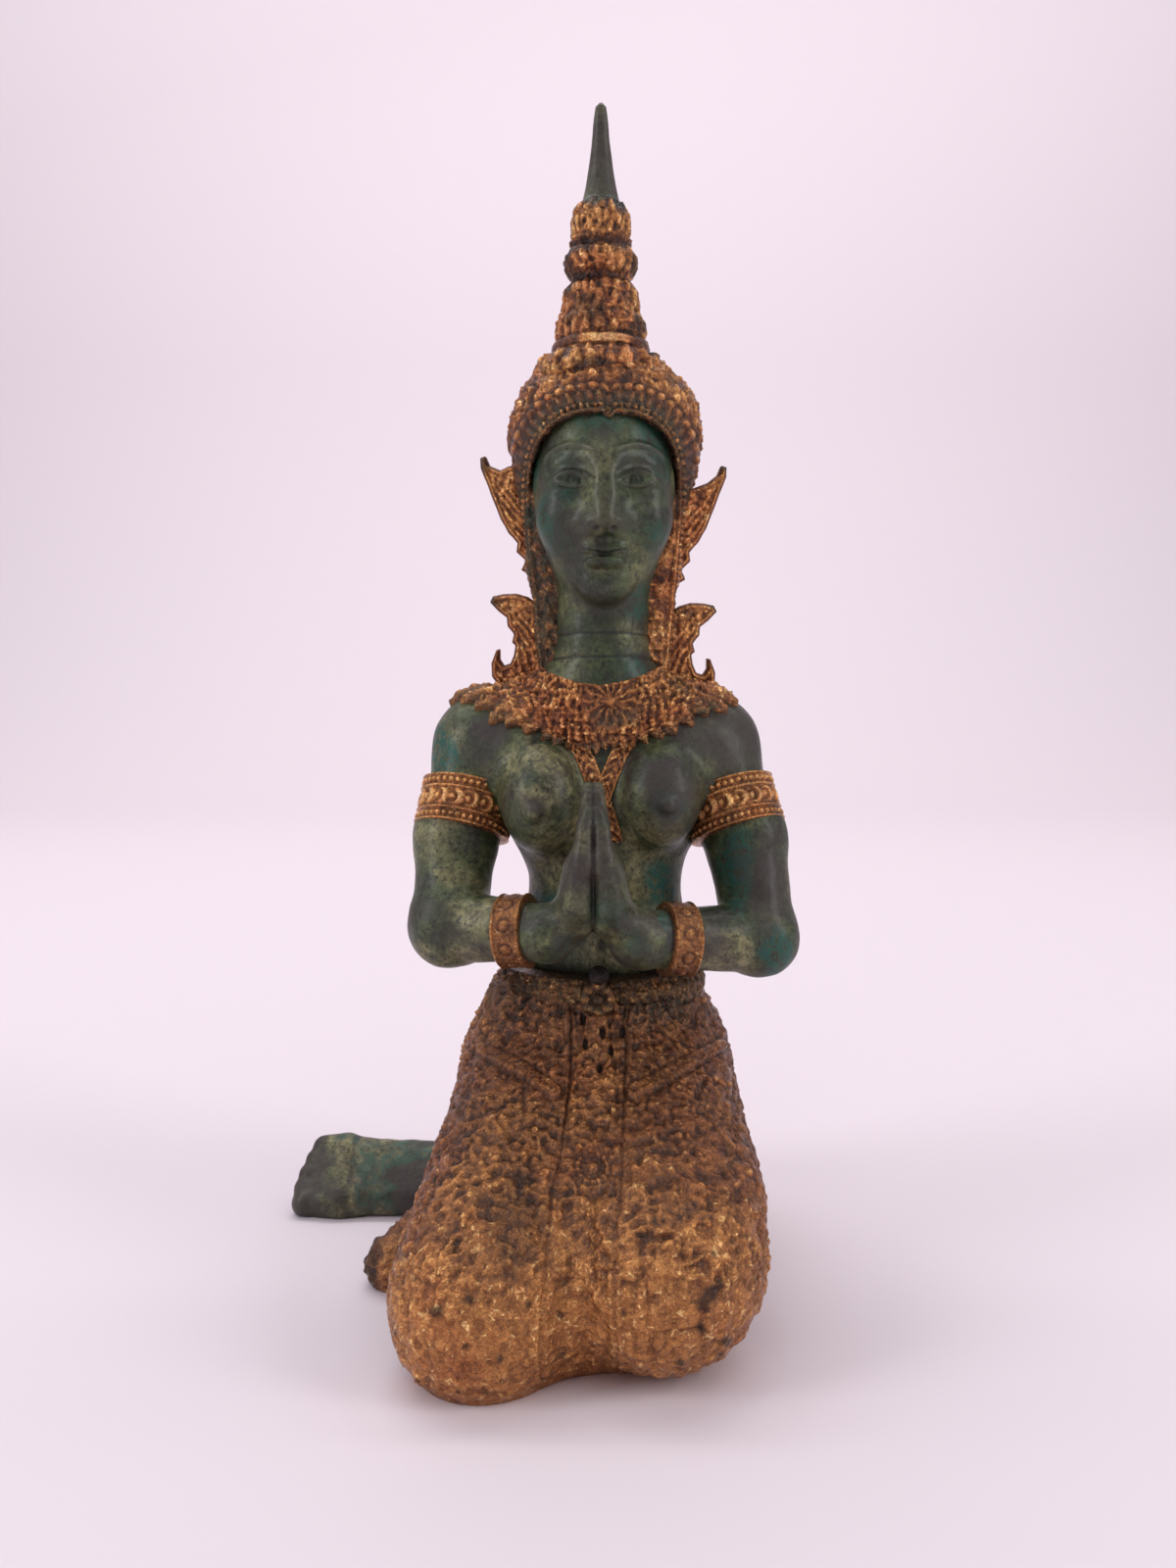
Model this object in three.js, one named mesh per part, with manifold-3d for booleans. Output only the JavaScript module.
// A kneeling thepphanom, the praying celestial of Thai temple art, cast in bronze as one piece.
// Millimetres, +Z up. The figure faces -Y and +X is its left-hand side. The body is laid out
// about the axis of the crown's spire, and the finished solid is moved at the end so that the
// origin is the middle of its box at the level of the floor that it kneels on.
// Each mass of the body is a field, negative inside and positive outside. Fields are blended
// where flesh or cloth flows together, and skinned by rays cast from an axis inside them.
import * as THREE from 'three';
import { mergeVertices } from 'three/addons/utils/BufferGeometryUtils.js';
import Module from 'manifold-3d';

const wasm = await Module();
wasm.setup();

// Driving dimensions of the figure.
const TIP_Z = 219.5; // top of the spire
const FACE_X = 0.6; // the head is a little to the figure's left of the crown's axis
const EYE_Z = 148; // half the height of the skull
const BROW_Z = 151.5;
const NOSE_Z = 138.8; // halfway from brow to chin
const MOUTH_Z = 134.4; // a third of the way from nose to chin
const HOOD_Z = 158.5; // widest level of the headdress
const BRIM_Z = 143; // level of the ears, where the brim stops curving and runs down
const BRIM_RISE = 16.3; // from there to the middle of the forehead
const BRIM_HALF = 13.8; // half the width between the two sides of the brim
const NECK_R = 8.7;
const LAP_SWEEP = 0.088; // how far the knees swing to the figure's right, per mm forward
const SHOULDER_RIGHT = [-22.9, 2, 99.2];
const SHOULDER_LEFT = [21.2, 2, 99.2];
const ARM_MIDDLE = [27.6, -4, 82.4];
const ELBOW_RIGHT = [-28.2, -11, 66.3];
const ELBOW_LEFT = [29.6, -11, 64.2];
const WRIST_RIGHT = [-9.6, -22.6, 67.2];
const WRIST_LEFT = [6.6, -22.6, 66];
const PALMS_X = -1.5; // plane where the palms meet
const HANDS_Y = -25;
const FINGER_TIP_Z = 94.2;
const KNEE_RIGHT = [-14.6, -42.6, 11.5];
const KNEE_LEFT = [14, -42, 16];
const KNEE_R = 16.4;
const FOOT_ROLL = 42; // degrees that the soles lean forward from facing up
const BELT_Z = 54.5;

const WELD = 0.06; // edges shorter than this close up where pieces are joined

const BRONZE_GREEN = 0x46523f;
const BRONZE_ROUGHNESS = 0.5;
const BRONZE_METALNESS = 0.6;

const radians = THREE.MathUtils.degToRad;
const mix = THREE.MathUtils.lerp;
const clamp = THREE.MathUtils.clamp;
const vector = (p) => new THREE.Vector3(...p);
const mirrored = (p) => [-p[0], p[1], p[2]];
const range = (count) => Array.from({ length: count }, (_, i) => i);

// Fields.

function egg(centre, radii) {
  const [cx, cy, cz] = centre;
  const [rx, ry, rz] = radii;
  return (x, y, z) => {
    const [a, b, c] = [(x - cx) / rx, (y - cy) / ry, (z - cz) / rz];
    const near = Math.hypot(a, b, c);
    const slope = Math.max(Math.hypot(a / rx, b / ry, c / rz), 1e-6);
    return (near * (near - 1)) / slope;
  };
}

const ball = (centre, radius) => egg(centre, [radius, radius, radius]);

// A limb from a to b whose radius runs evenly from ra to rb.
function limb(a, b, ra, rb) {
  const along = [b[0] - a[0], b[1] - a[1], b[2] - a[2]];
  const square = along[0] ** 2 + along[1] ** 2 + along[2] ** 2;
  return (x, y, z) => {
    const [px, py, pz] = [x - a[0], y - a[1], z - a[2]];
    const dot = px * along[0] + py * along[1] + pz * along[2];
    const t = clamp(dot / square, 0, 1);
    const away = Math.hypot(px - along[0] * t, py - along[1] * t, pz - along[2] * t);
    return away - mix(ra, rb, t);
  };
}

function soften(a, b, reach) {
  const share = Math.max(reach - Math.abs(a - b), 0) / reach;
  return (share * share * reach) / 4;
}

function blend(reach, ...fields) {
  return (x, y, z) =>
    fields.map((f) => f(x, y, z)).reduce((a, b) => Math.min(a, b) - soften(a, b, reach));
}

function carve(reach, body, tool) {
  return (x, y, z) => {
    const [a, b] = [body(x, y, z), -tool(x, y, z)];
    return Math.max(a, b) + soften(a, b, reach);
  };
}

const bothSides = (field) => (x, y, z) => field(Math.abs(x), y, z);
const shifted = (field, dx) => (x, y, z) => field(x - dx, y, z);

const swept = (field, slope) => (x, y, z) => field(x - y * slope, y, z);

// Solids.

function solid(geometry) {
  const bare = geometry.index ? geometry.toNonIndexed() : geometry.clone();
  for (const name of Object.keys(bare.attributes)) {
    if (name !== 'position') bare.deleteAttribute(name);
  }
  const welded = mergeVertices(bare, 1e-4);
  const corners = welded.index.array;
  const kept = [];
  for (let i = 0; i < corners.length; i += 3) {
    const [a, b, c] = corners.slice(i, i + 3);
    if (a !== b && b !== c && c !== a) kept.push(a, b, c);
  }
  return new wasm.Manifold(
    new wasm.Mesh({
      numProp: 3,
      vertProperties: welded.attributes.position.array,
      triVerts: new Uint32Array(kept),
      tolerance: WELD,
    }),
  );
}

const join = (solids) => solids.reduce((a, b) => a.add(b));

// Distance from a point inside a field to its surface along a ray.
function reachOf(field, origin, ray) {
  const at = (d) => field(origin.x + ray.x * d, origin.y + ray.y * d, origin.z + ray.z * d);
  const stride = 0.8;
  let far = stride;
  while (at(far) < 0 && far < 90) far += stride;
  let near = far - stride;
  for (let i = 0; i < 16; i++) {
    const middle = (near + far) / 2;
    if (at(middle) < 0) near = middle;
    else far = middle;
  }
  return Math.max(near, 0.05);
}

// Joins rows of points, all of the same length, into a closed skin with a point at each end.
// Each four-sided patch is split along its shorter diagonal, so mirrored forms stay mirrored.
function skin(rows, first, last) {
  const sides = rows[0].length;
  const points = [...rows.flat(), first, last];
  const [start, end] = [points.length - 2, points.length - 1];
  const index = [];
  const at = (row, side) => row * sides + (side % sides);
  for (let row = 0; row < rows.length - 1; row++) {
    for (let side = 0; side < sides; side++) {
      const [a, b] = [at(row, side), at(row, side + 1)];
      const [c, d] = [at(row + 1, side + 1), at(row + 1, side)];
      const across = points[a].distanceTo(points[c]) - points[b].distanceTo(points[d]);
      index.push(...(across < 0 ? [a, b, c, a, c, d] : [a, b, d, b, c, d]));
    }
  }
  for (let side = 0; side < sides; side++) {
    index.push(start, at(0, side + 1), at(0, side));
    index.push(end, at(rows.length - 1, side), at(rows.length - 1, side + 1));
  }
  const geometry = new THREE.BufferGeometry().setFromPoints(points);
  return geometry.setIndex(index);
}

// Skins a field with rings cast from the straight axis between two points. The levels are
// shares of its length, and spread bends the angles so that they crowd where detail is.
function cast(field, from, to, { levels, sides, spread = (a) => a }) {
  const [start, end] = [vector(from), vector(to)];
  const axis = end.clone().sub(start).normalize();
  const guide = Math.abs(axis.z) > 0.9 ? new THREE.Vector3(1, 0, 0) : new THREE.Vector3(0, 0, 1);
  const v = axis.clone().cross(guide).normalize();
  const u = v.clone().cross(axis);
  const rows = levels.map((level) => {
    const origin = start.clone().lerp(end, level);
    return range(sides).map((side) => {
      const angle = spread((2 * Math.PI * side) / sides);
      const ray = u.clone().multiplyScalar(Math.cos(angle)).addScaledVector(v, Math.sin(angle));
      return origin.clone().addScaledVector(ray, reachOf(field, origin, ray));
    });
  });
  const tip = (level, ray) => {
    const origin = start.clone().lerp(end, level);
    return origin.clone().addScaledVector(ray, reachOf(field, origin, ray));
  };
  return solid(skin(rows, tip(levels[0], axis.clone().negate()), tip(levels.at(-1), axis)));
}

const evenly = (count, low = 0, high = 1) =>
  range(count).map((i) => mix(low, high, i / (count - 1)));

// A round bar of few sides along a smooth line through the points.
function bar(points, radius, { sides = 6, steps = 8, taper = 1 } = {}) {
  const line = new THREE.CatmullRomCurve3(points.map(vector));
  const rows = range(steps + 1).map((i) => {
    const t = i / steps;
    const tangent = line.getTangent(t);
    const guide = Math.abs(tangent.z) > 0.9 ? new THREE.Vector3(0, 1, 0) : new THREE.Vector3(0, 0, 1);
    const v = tangent.clone().cross(guide).normalize();
    const u = v.clone().cross(tangent);
    const r = radius * mix(1, taper, t);
    return range(sides).map((side) => {
      const angle = (2 * Math.PI * side) / sides;
      return line
        .getPoint(t)
        .addScaledVector(u, r * Math.cos(angle))
        .addScaledVector(v, r * Math.sin(angle));
    });
  });
  const first = line.getPoint(0).addScaledVector(line.getTangent(0), -radius * 0.6);
  const last = line.getPoint(1).addScaledVector(line.getTangent(1), radius * taper * 0.6);
  return solid(skin(rows, first, last));
}

function lathe(profile, segments) {
  const points = profile.map(([r, z]) => new THREE.Vector2(r, z));
  return new THREE.LatheGeometry(points, segments).rotateX(Math.PI / 2);
}

// A plate cut to an outline in X and Z, its middle plane at y 0.
function plate(outline, thickness) {
  const shape = new THREE.Shape(outline.map(([x, z]) => new THREE.Vector2(x, z)));
  const geometry = new THREE.ExtrudeGeometry(shape, { depth: thickness, bevelEnabled: false });
  return geometry.translate(0, 0, -thickness / 2).rotateX(Math.PI / 2);
}

// A hoop round the line from one point towards another.
function ring(profile, from, to, segments) {
  const axis = vector(to).sub(vector(from)).normalize();
  const turn = new THREE.Quaternion().setFromUnitVectors(new THREE.Vector3(0, 0, 1), axis);
  const band = lathe(profile, segments).applyQuaternion(turn);
  return solid(band.translate(...from));
}

// The lap: thighs, knees, hips and the shins folded beneath them, all under the cloth.

function lapField() {
  const thighs = [
    limb([-10.6, 2, 37], KNEE_RIGHT, 15.4, KNEE_R),
    limb([10.6, 2, 37], KNEE_LEFT, 15.4, KNEE_R),
  ];
  const buttock = egg([9, 12, 27], [15, 15, 18]);
  const shin = limb([17, -34, 8], [13, 20, 7], 8.5, 8);
  const hips = egg([-3, 5, 32.7], [22.9, 20.5, 23.8]);
  const belly = egg([-0.9, 0.5, 51], [19.6, 14.8, 11]);
  const apron = limb([0, -1, 43], [0, -36, 12], 13, 13);
  const base = egg([0, -9, 5], [26, 36, 12]);
  const legs = blend(6, ...thighs, bothSides(blend(6, buttock, shin)));
  // The shins swept to the right, which narrow towards the hem.
  const calves = limb([-17.6, -7.8, 10.6], [-38.4, -15.9, 3.7], 15.1, 5.4);
  return blend(5, swept(blend(7, legs, hips, belly, apron, base), LAP_SWEEP), calves);
}

const lap = lapField();
const LAP_AXIS = [0, -8];

// A point on the cloth at a height, in the direction that an angle from straight ahead gives.
function onLap(angle, z, lift = 0) {
  const turn = radians(angle) - LAP_SWEEP;
  const ray = new THREE.Vector3(Math.sin(turn), -Math.cos(turn), 0);
  const origin = new THREE.Vector3(...LAP_AXIS, z);
  return origin.addScaledVector(ray, reachOf(lap, origin, ray) + lift);
}

// The folds on either side of the front panel draw together towards the knees.
const foldAngle = (z) => mix(9.5, 15, clamp(z / 50, 0, 1));
const foldLift = (z) => 0.9 * clamp((52 - z) / 4, 0, 1);

// The angles of the cloth's columns at a height: those at the folds follow them.
function columnAngles(z) {
  const edge = foldAngle(z);
  const half = [edge * 0.45, edge - 2.2, edge, edge + 2.2, 24, 32, 40, 49, 59, 70, 82, 95, 109, 124, 142, 161];
  return [0, ...half, 180, ...half.map((angle) => 360 - angle).reverse()];
}

function clothSolid() {
  const rows = [0, 1.5, 4, 8, 12, 16, 20, 24.5, 29, 33.5, 38, 42.5, 47, 51, 55.5].map((z) =>
    columnAngles(z).map((angle, i, all) => onLap(angle, z, i === 3 || i === all.length - 3 ? foldLift(z) : 0)),
  );
  const [under, over] = [0, 60].map((z) => new THREE.Vector3(...LAP_AXIS, z));
  return solid(skin(rows, under, over));
}

// The pendant that hangs from the belt: a raised tongue with a rounded end.
function pendant() {
  const [columns, lift] = [7, 1];
  const outline = [
    [53, 11],
    [50, 13.5],
    [44, 13],
    [38, 11.5],
    [34.5, 8],
    [33, 3],
  ];
  const layer = (height) =>
    outline.map(([z, half]) =>
      evenly(columns, -half, half).map((angle) => onLap(angle, z, height)),
    );
  const [back, front] = [layer(-1.6), layer(lift)];
  const rows = outline.map((_, i) => [...front[i], ...back[i].reverse()]);
  return solid(skin(rows.reverse(), onLap(0, 33, -0.3), onLap(0, 53.4, -0.3)));
}

// The torso, from the belt to the neck, without the arms.

function torsoField() {
  const belly = egg([1.5, 0.8, 64], [17, 12, 21]);
  const ribs = egg([0, 0.8, 89], [19.4, 13, 19]);
  const yokes = bothSides(limb([0, 2, 104.5], [21, 2, 98.4], 9, 8.6));
  const slope = egg([0, 2, 107], [17, 8.5, 8]);
  const neck = limb([0.2, 0.6, 106], [FACE_X, -0.4, 130], NECK_R + 0.6, NECK_R);
  const armpit = bothSides(egg([16.5, -4, 97], [6.5, 6.5, 8]));
  const breasts = [egg([-11, -8.8, 90], [7.9, 9.6, 10.4]), egg([10.9, -8.8, 90.6], [7.9, 9.6, 10])];
  return blend(2.5, blend(6, belly, ribs, yokes, slope, neck, armpit), ...breasts);
}

const torso = torsoField();

function onTorso(angle, z, lift) {
  const ray = new THREE.Vector3(Math.sin(radians(angle)), -Math.cos(radians(angle)), 0);
  const origin = new THREE.Vector3(0, 1, z);
  return origin.addScaledVector(ray, reachOf(torso, origin, ray) + lift).toArray();
}

// Two straps that cross on the breastbone and run down beneath the breasts.
function strapSolids() {
  const course = [
    [30, 104],
    [12, 99],
    [1, 92],
    [-11, 83.5],
  ];
  return [-1, 1].map((side) =>
    bar(course.map(([angle, z]) => onTorso(side * angle, z, -0.2)), 1.4, { sides: 4, steps: 5 }),
  );
}

function torsoSolid() {
  const levels = [52, 60, 67, 73, 78, 82, 86, 90, 94, 98, 102, 106, 110, 114, 127];
  const [low, high] = [48, 130];
  return cast(torso, [0, 1, low], [0, 1, high], {
    levels: levels.map((z) => (z - low) / (high - low)),
    sides: 24,
  });
}

// The broad collar: a scalloped shell that lies on the shoulders and breast.
function collarSolid() {
  const [sides, lift] = [40, 1.7];
  const heart = new THREE.Vector3(0, 1.5, 92);
  const inner = 60; // degrees above the level at the neck
  // It reaches further over the right shoulder than over the left.
  const lowest = (turn) => mix(37, 28, Math.cos(turn / 2) ** 4) - 5.5 * Math.max(-Math.sin(turn), 0) ** 2;
  const directions = (share) =>
    range(sides).map((side) => {
      const turn = (2 * Math.PI * side) / sides;
      const scallop = side % 2 ? 4.5 : 0;
      const rise = radians(mix(inner, lowest(turn) + scallop * share, share));
      const flat = Math.cos(rise);
      return new THREE.Vector3(Math.sin(turn) * flat, -Math.cos(turn) * flat, Math.sin(rise));
    });
  const row = (share, offset) =>
    directions(share).map((ray) =>
      heart.clone().addScaledVector(ray, reachOf(torso, heart, ray) + offset),
    );
  const rows = [row(1, -4), row(1, lift * 0.8), row(0.5, lift), row(0, lift)];
  const top = heart.clone().setZ(118);
  return solid(skin(rows, heart.clone().setZ(96), top));
}

// Arms, hands and their bands.

function armSolids(side) {
  const right = side < 0;
  const shoulder = right ? SHOULDER_RIGHT : SHOULDER_LEFT;
  const middle = right ? mirrored(ARM_MIDDLE) : ARM_MIDDLE;
  const elbow = right ? ELBOW_RIGHT : ELBOW_LEFT;
  const wrist = right ? WRIST_RIGHT : WRIST_LEFT;
  const palm = [PALMS_X + side * 3.4, HANDS_Y + 0.5, 70.5];
  const thick = right ? 6.9 : 6.5;
  const upper = blend(
    3,
    egg(shoulder, [10, 9.2, 10]),
    limb(shoulder, middle, 8.4, 7.5),
    limb(middle, elbow, 7.5, thick),
  );
  const lower = blend(2, limb(elbow, wrist, thick, 5), ball(elbow, thick + 0.1), limb(wrist, palm, 5, 3.9));
  const above = cast(upper, shoulder, elbow, { levels: evenly(8, -0.14, 1.05), sides: 13 });
  const below = cast(lower, elbow, palm, { levels: evenly(7, -0.05, 1), sides: 12 });
  return [above, below, armlet(shoulder, middle, elbow), bracelet(elbow, wrist)];
}

// A band high on the arm: a flat hoop between two rims.
function armlet(shoulder, middle, elbow) {
  const from = vector(middle).lerp(vector(shoulder), 0.56).toArray();
  const height = 10;
  const hoop = [
    [6.4, 0],
    [9.1, 0.2],
    [8.8, 5],
    [8.9, 9.8],
    [6.4, height],
    [6.4, 0],
  ];
  return ring(hoop, from, vector(middle).lerp(vector(elbow), 0.3).toArray(), 14);
}

// A bracelet sits a little askew on the forearm, more across the body than the arm runs.
function bracelet(elbow, wrist) {
  const width = 6;
  const hoop = [
    [3.6, 0],
    [6.3, 0],
    [6.4, 3.2],
    [6.2, width],
    [3.6, width],
    [3.6, 0],
  ];
  const askew = radians(18);
  const axis = new THREE.Vector3(-Math.sign(elbow[0]) * Math.cos(askew), -Math.sin(askew), 0.08).normalize();
  const from = vector(elbow).lerp(vector(wrist), 0.7).addScaledVector(axis, -width / 2);
  return ring(hoop, from.toArray(), from.clone().add(axis).toArray(), 13);
}

// Both hands, pressed palm to palm with the fingers together and the thumbs laid behind.
function handsSolid() {
  const hands = [-1, 1].flatMap((side) => {
    const out = (dx, y, z) => [PALMS_X + side * dx, y, z];
    const palm = blend(
      2.5,
      limb(out(3.4, HANDS_Y, 70.5), out(2.4, HANDS_Y, 79), 3.6, 2.9),
      limb(out(2.9, HANDS_Y - 3.2, 73), out(2, HANDS_Y - 3.6, 81), 2.6, 1.9),
      limb(out(2.9, HANDS_Y + 3.2, 73), out(2, HANDS_Y + 3.6, 81), 2.6, 1.9),
    );
    const fingers = range(4).map((i) => {
      const dy = -4.4 + 2.9 * i;
      const tip = FINGER_TIP_Z - 1.2 - [3.6, 0.9, 0, 2][i];
      return limb(out(1.9, HANDS_Y + dy, 80), out(0.7, HANDS_Y + dy * 0.62, tip), 1.8, 1.15);
    });
    const thumb = limb(out(2.6, HANDS_Y + 5, 73), out(1.1, HANDS_Y + 5.4, 85), 2, 1.3);
    return [palm, blend(0.6, ...fingers), thumb];
  });
  const levels = [0.02, 0.08, 0.15, 0.22, 0.3, 0.38, 0.46, 0.54, 0.62, 0.7, 0.78, 0.86, 0.93, 0.975];
  const [low, high] = [66.4, FINGER_TIP_Z];
  return cast(blend(1.2, ...hands), [PALMS_X, HANDS_Y, low], [PALMS_X, HANDS_Y, high], {
    levels,
    sides: 24,
  });
}

// The head, its headdress and the ornaments behind the ears.

function headField() {
  const skull = egg([FACE_X, -1, 151], [13.6, 15.5, 17.5]);
  const jaw = egg([FACE_X, -4.2, 141.5], [11.6, 11.8, 16]);
  const face = blend(4, skull, jaw);
  const nose = limb([FACE_X, -16.2, BROW_Z - 2], [FACE_X, -18.4, NOSE_Z + 1.2], 0.9, 1.7);
  const brow = limb([2, -15.4, BROW_Z], [8.6, -12.3, BROW_Z - 0.6], 1.1, 0.9);
  const socket = egg([5.6, -17.6, EYE_Z - 0.4], [4.2, 3, 2]);
  const eye = egg([5.6, -13.4, EYE_Z - 0.6], [3.5, 1.9, 1.6]);
  const lips = egg([FACE_X, -14.7, MOUTH_Z], [3.9, 1.9, 1.7]);
  const pairs = (f) => shifted(bothSides(f), FACE_X);
  const browed = blend(1.5, face, pairs(brow));
  const carved = carve(1.5, browed, pairs(socket));
  return blend(1, blend(1.4, carved, nose), pairs(eye), lips);
}

const head = headField();

function headSolid() {
  const levels = [128, 131, 132.8, 134.2, 135.8, 137.8, 139.6, 142.5, 145.4, 147.4, 149.4, 151.4, 154, 158, 163];
  const [low, high] = [125, 166];
  return cast(head, [FACE_X, -3, low], [FACE_X, -3, high], {
    levels: levels.map((z) => (z - low) / (high - low)),
    sides: 28,
    // Crowds the rays towards the face, which lies at three quarters of a turn.
    spread: (angle) => angle - 0.6 * Math.cos(angle),
  });
}

// The tiers of the crown, each row a radius, a height, and how far its leaves stand out and up.
const CROWN_TIERS = [
  [11.4, 164, 0, 0],
  [12.3, 168.4, 0.4, 0],
  [11.9, 170.8, 0.6, 0.4],
  [11.1, 172.3, 0.5, 1.1],
  [8.8, 173, 0, 0],
  [8.4, 178, 0.3, 0.2],
  [8, 179.6, 0.3, 0.9],
  [7.5, 180.2, 0.2, 0],
  [7.2, 183, 0.4, 0.3],
  [6.8, 185.2, 0.3, 0.8],
  [5.3, 186.4, 0, 0],
  [6.7, 189.4, 0.2, 0],
  [6.9, 191, 0.3, 0.3],
  [5.7, 193.4, 0, 0],
  [5.6, 197, 0.3, 0],
  [4.9, 199.8, 0.3, 0.7],
  [3.5, 201.4, 0, 0],
  [2.2, 208.4, 0, 0],
  [1.1, TIP_Z - 1, 0, 0],
];

function crownSolid() {
  const sides = 24;
  const rows = CROWN_TIERS.map(([radius, z, out, rise]) =>
    range(sides).map((side) => {
      const leaf = side % 2 ? -1 : 1;
      const turn = (2 * Math.PI * side) / sides;
      const r = radius + out * leaf;
      return new THREE.Vector3(r * Math.sin(turn), -r * Math.cos(turn), z + rise * leaf);
    }),
  );
  const [base, tip] = [160, TIP_Z].map((z) => new THREE.Vector3(0, 0, z));
  return solid(skin(rows, base, tip));
}

// Half the width of the face opening at a height.
function brimHalf(z) {
  if (z < BRIM_Z) return mix(BRIM_HALF, 11, Math.min((BRIM_Z - z) / 32, 1));
  return BRIM_HALF * Math.cbrt(Math.max(1 - ((z - BRIM_Z) / BRIM_RISE) ** 3, 0));
}

// The hood of gilding that frames the face, with a nape and two lappets that reach the collar.
function hoodSolids() {
  const dome = egg([FACE_X + 0.3, 2.2, HOOD_Z], [18.6, 17.4, 16.4]);
  const nape = limb([FACE_X, 5.5, 146], [0.3, 3.6, 108], 11, 8);
  const jaw = [11.4, 1.5, 134];
  const side = blend(3, limb([13, 1.5, 149.5], jaw, 3.6, 3.3), limb(jaw, [9.8, 2, 112], 3.3, 3.2));
  const whole = blend(4, dome, nape, shifted(bothSides(side), FACE_X));
  const opening = (x, y, z) =>
    Math.max(Math.abs(x - FACE_X) - brimHalf(z), z - BRIM_Z - BRIM_RISE, y + 3);
  const cut = carve(0.3, whole, opening);
  const at = (field, turn, z) => {
    const origin = new THREE.Vector3(FACE_X, 6, z);
    const ray = new THREE.Vector3(Math.sin(turn), -Math.cos(turn), 0);
    return origin.addScaledVector(ray, reachOf(field, origin, ray));
  };
  // The height of the opening's edge in a direction, or that of the ears beside it.
  const edge = (turn) => {
    let [low, high] = [BRIM_Z, BRIM_Z + BRIM_RISE];
    for (let i = 0; i < 12; i++) {
      const z = (low + high) / 2;
      if (Math.abs(at(whole, turn, z).x - FACE_X) < brimHalf(z)) low = z;
      else high = z;
    }
    return high;
  };
  const turns = range(24).map((side) => (2 * Math.PI * side) / 24).map((a) => a - 0.3 * Math.sin(a));
  const edges = turns.map(edge);
  const rows = [
    ...[108, 116, 124, 131, 137, 142].map((z) => turns.map((turn) => at(cut, turn, z))),
    turns.map((turn, i) => at(cut, turn, edges[i] - 0.5)),
    ...evenly(6, 0, 0.9).map((t) => turns.map((turn, i) => at(whole, turn, mix(edges[i] + 0.3, 175, t)))),
  ];
  const [under, over] = [106, 176].map((z) => new THREE.Vector3(FACE_X, 6, z));
  const cap = solid(skin(rows, under, over));
  const onBrim = (side, z) => {
    const origin = new THREE.Vector3(FACE_X + side * brimHalf(z), 3, z);
    const ray = new THREE.Vector3(0, -1, 0);
    return origin.addScaledVector(ray, reachOf(whole, origin, ray) - 0.6).toArray();
  };
  const rise = [114, 122, 130, 137, BRIM_Z, 148, 152.5, 156, 158.3];
  const brim = [
    ...rise.map((z) => onBrim(-1, z)),
    onBrim(0, BRIM_Z + BRIM_RISE - 1.0), // it dips a little at the middle of the forehead
    ...rise.reverse().map((z) => onBrim(1, z)),
  ];
  return [cap, bar(brim, 1.5, { sides: 5, steps: 18 })];
}

// Flame-shaped ear ornaments, and the smaller pair that stands on the shoulders.
function wingSolids(side) {
  const upper = [
    [11.5, 125],
    [13.2, 127.4],
    [13.4, 129.6],
    [15, 131],
    [15.1, 133.2],
    [16.9, 135],
    [17, 137.2],
    [19, 139.6],
    [21.2, 145],
    [23.6, 151.4],
    [24, 154.4],
    [21.8, 151.6],
    [17, 149.4],
    [12, 150],
  ];
  const lower = [
    [8, 108],
    [16, 108.8],
    [21.4, 110.4],
    [21.8, 116.8],
    [19.2, 114],
    [17.4, 116.6],
    [18.6, 120.4],
    [18.8, 122.8],
    [22, 126],
    [20.6, 127.8],
    [15.6, 128],
    [9, 124],
  ];
  const stand = (outline, y, sweep) => {
    const leaf = plate(side < 0 ? outline.map(([x, z]) => [-x, z]).reverse() : outline, 2);
    return solid(leaf.rotateZ(side * radians(sweep)).translate(FACE_X, y, side < 0 ? 0.9 : -0.9));
  };
  return [stand(upper, 0.6, 10), stand(lower, 1, 6)];
}

// Feet, swept out to the figure's right with the soles turned up.

function footSolids({ heel, ball: pad, toes, width }) {
  const ahead = vector(pad).sub(vector(heel)).setZ(0).normalize();
  const across = new THREE.Vector3(-ahead.y, ahead.x, 0).multiplyScalar(-Math.cos(radians(FOOT_ROLL)));
  across.z = Math.sin(radians(FOOT_ROLL));
  const near = (p, share) => vector(p).addScaledVector(across, width * share).toArray();
  const sole = blend(
    4,
    limb(heel, pad, 4.6, 3.4),
    limb(near(heel, 0.2), near(pad, 0.34), 4.2, 3.2),
    limb(near(heel, -0.2), near(pad, -0.36), 4.2, 3.4),
  );
  const foot = cast(sole, heel, pad, { levels: evenly(6, -0.1, 1.02), sides: 14 });
  const joined = toes.map(([length, radius], i) => {
    const share = mix(-0.4, 0.42, i / (toes.length - 1));
    const root = vector(near(pad, share)).addScaledVector(ahead, -2);
    const end = root.clone().addScaledVector(ahead, length + 2);
    const middle = root.clone().lerp(end, 0.5);
    const course = [root, middle, end].map((p) => p.toArray());
    return bar(course, radius, { sides: 6, steps: 2, taper: 0.85 });
  });
  return [foot, ...joined];
}

// How far each toe reaches past the ball of the foot and its radius, from the great toe.
const TOES = [
  [6.4, 2.9],
  [6.8, 2.3],
  [6.4, 2.2],
  [5.6, 2.1],
  [4.4, 2.1],
];
const leftFoot = footSolids({ heel: [-20, 17.4, 6], ball: [-56.4, 18.4, 6.6], toes: TOES, width: 15.6 });
const rightFoot = footSolids({ heel: [2, 23, 8], ball: [-24.5, 32, 7.2], toes: TOES, width: 15 });

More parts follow.
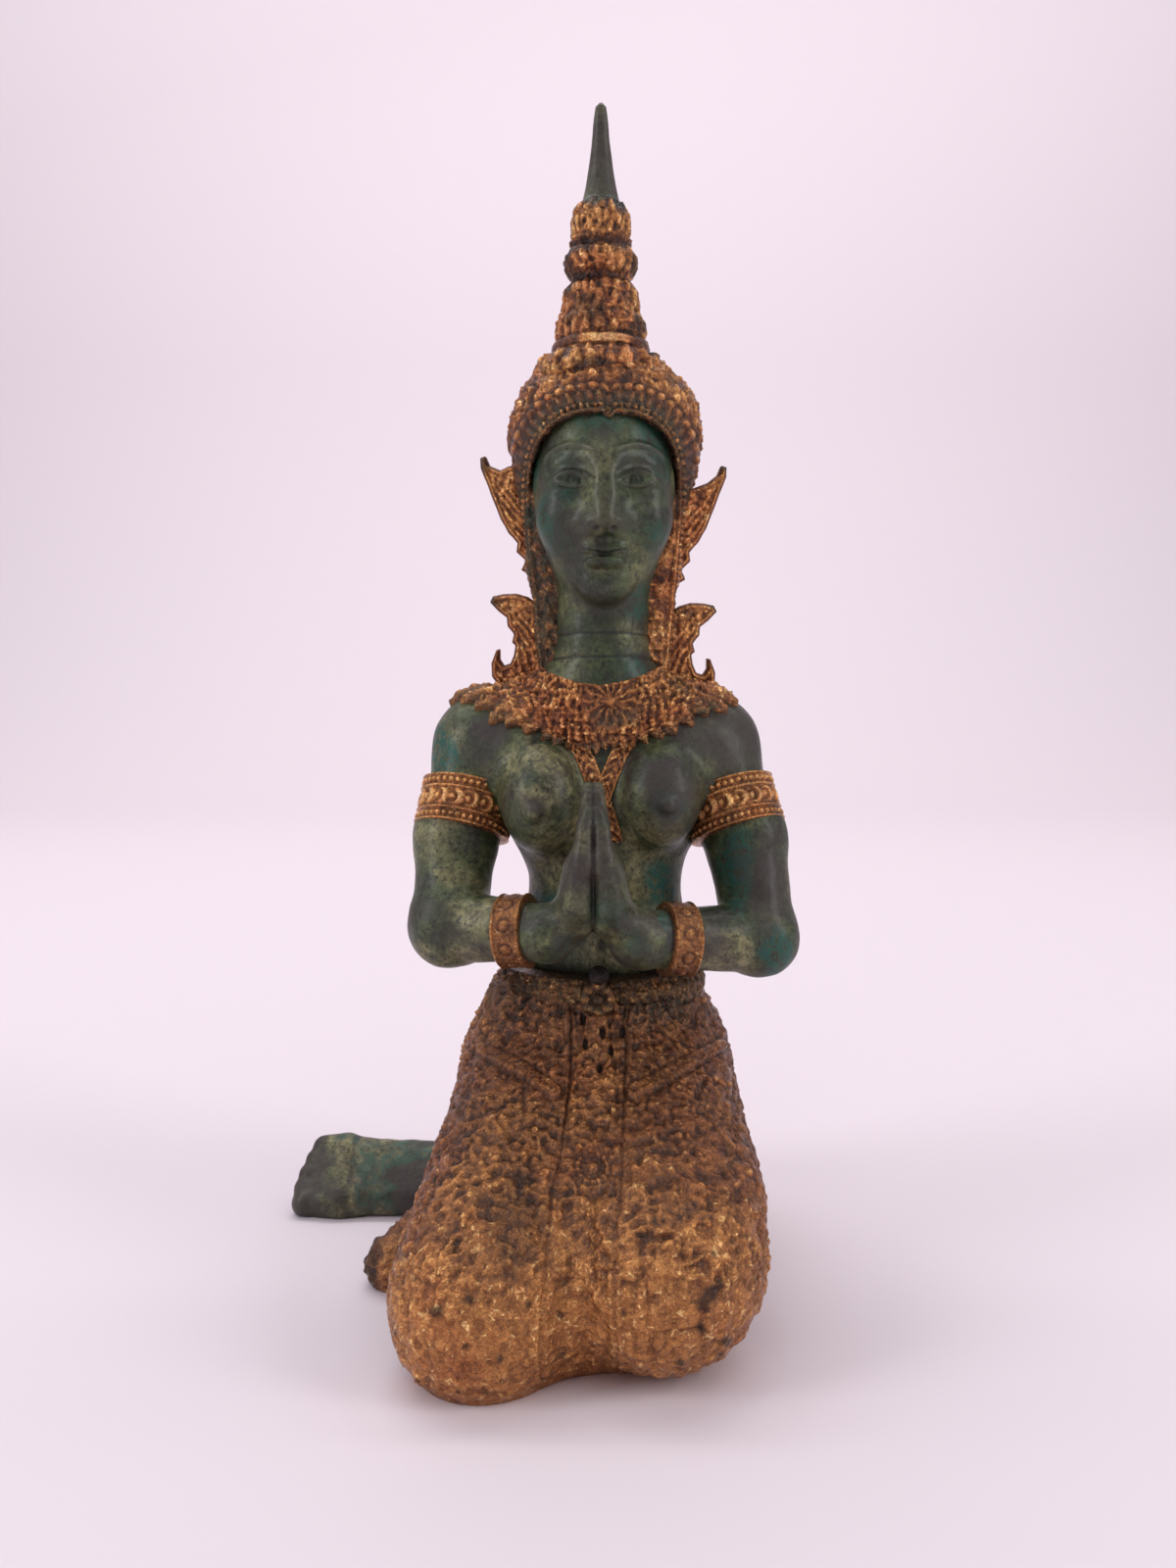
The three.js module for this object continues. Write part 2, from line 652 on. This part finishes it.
// The belt with its round clasp, and the pendant that hangs from it.
function beltSolids() {
  const hoop = [
    [0.7, 0],
    [1.05, 0],
    [1.08, 0.5],
    [0.98, 1],
    [0.7, 1],
    [0.7, 0],
  ];
  const belt = lathe(hoop, 24).scale(19.2, 15.2, 5.2).translate(0.4, 0.6, BELT_Z - 2.6);
  const clasp = lathe(
    [
      [0, -3],
      [3, -3],
      [3, 0.6],
      [2, 1],
      [1.6, 0.5],
      [0, 0.9],
    ],
    12,
  );
  clasp.rotateX(Math.PI / 2).translate(-0.6, -16.2, BELT_Z - 0.8);
  return [solid(belt), solid(clasp)];
}

const floor = 0;

// Keeps what is above the floor.
function standing(body) {
  const slab = new THREE.BoxGeometry(300, 300, 60).translate(0, 0, floor - 30);
  return body.subtract(solid(slab));
}

const pieces = [
  clothSolid(),
  pendant(),
  torsoSolid(),
  ...strapSolids(),
  collarSolid(),
  handsSolid(),
  headSolid(),
  ...hoodSolids(),
  crownSolid(),
  ...beltSolids(),
  ...leftFoot,
  ...rightFoot,
  ...[-1, 1].flatMap((side) => [...armSolids(side), ...wingSolids(side)]),
];

function toGeometry(body) {
  const mesh = body.getMesh();
  const points = new Float32Array(mesh.numVert * 3);
  for (let i = 0; i < mesh.numVert; i++) {
    points.set(mesh.vertProperties.subarray(i * mesh.numProp, i * mesh.numProp + 3), i * 3);
  }
  const geometry = new THREE.BufferGeometry();
  geometry.setAttribute('position', new THREE.BufferAttribute(points, 3));
  return geometry.setIndex(new THREE.BufferAttribute(mesh.triVerts, 1));
}

// Moves the origin to the middle of the box, on the floor.
function centred(geometry) {
  geometry.computeBoundingBox();
  const middle = geometry.boundingBox.getCenter(new THREE.Vector3());
  return geometry.translate(-middle.x, -middle.y, -geometry.boundingBox.min.z);
}

const bronze = new THREE.MeshStandardMaterial({
  color: BRONZE_GREEN,
  roughness: BRONZE_ROUGHNESS,
  metalness: BRONZE_METALNESS,
});

const geometry = centred(toGeometry(standing(join(pieces))));
geometry.computeVertexNormals();

const figure = new THREE.Mesh(geometry, bronze);
figure.name = 'thepphanom_figure';

const group = new THREE.Group();
group.add(figure);

export default group;
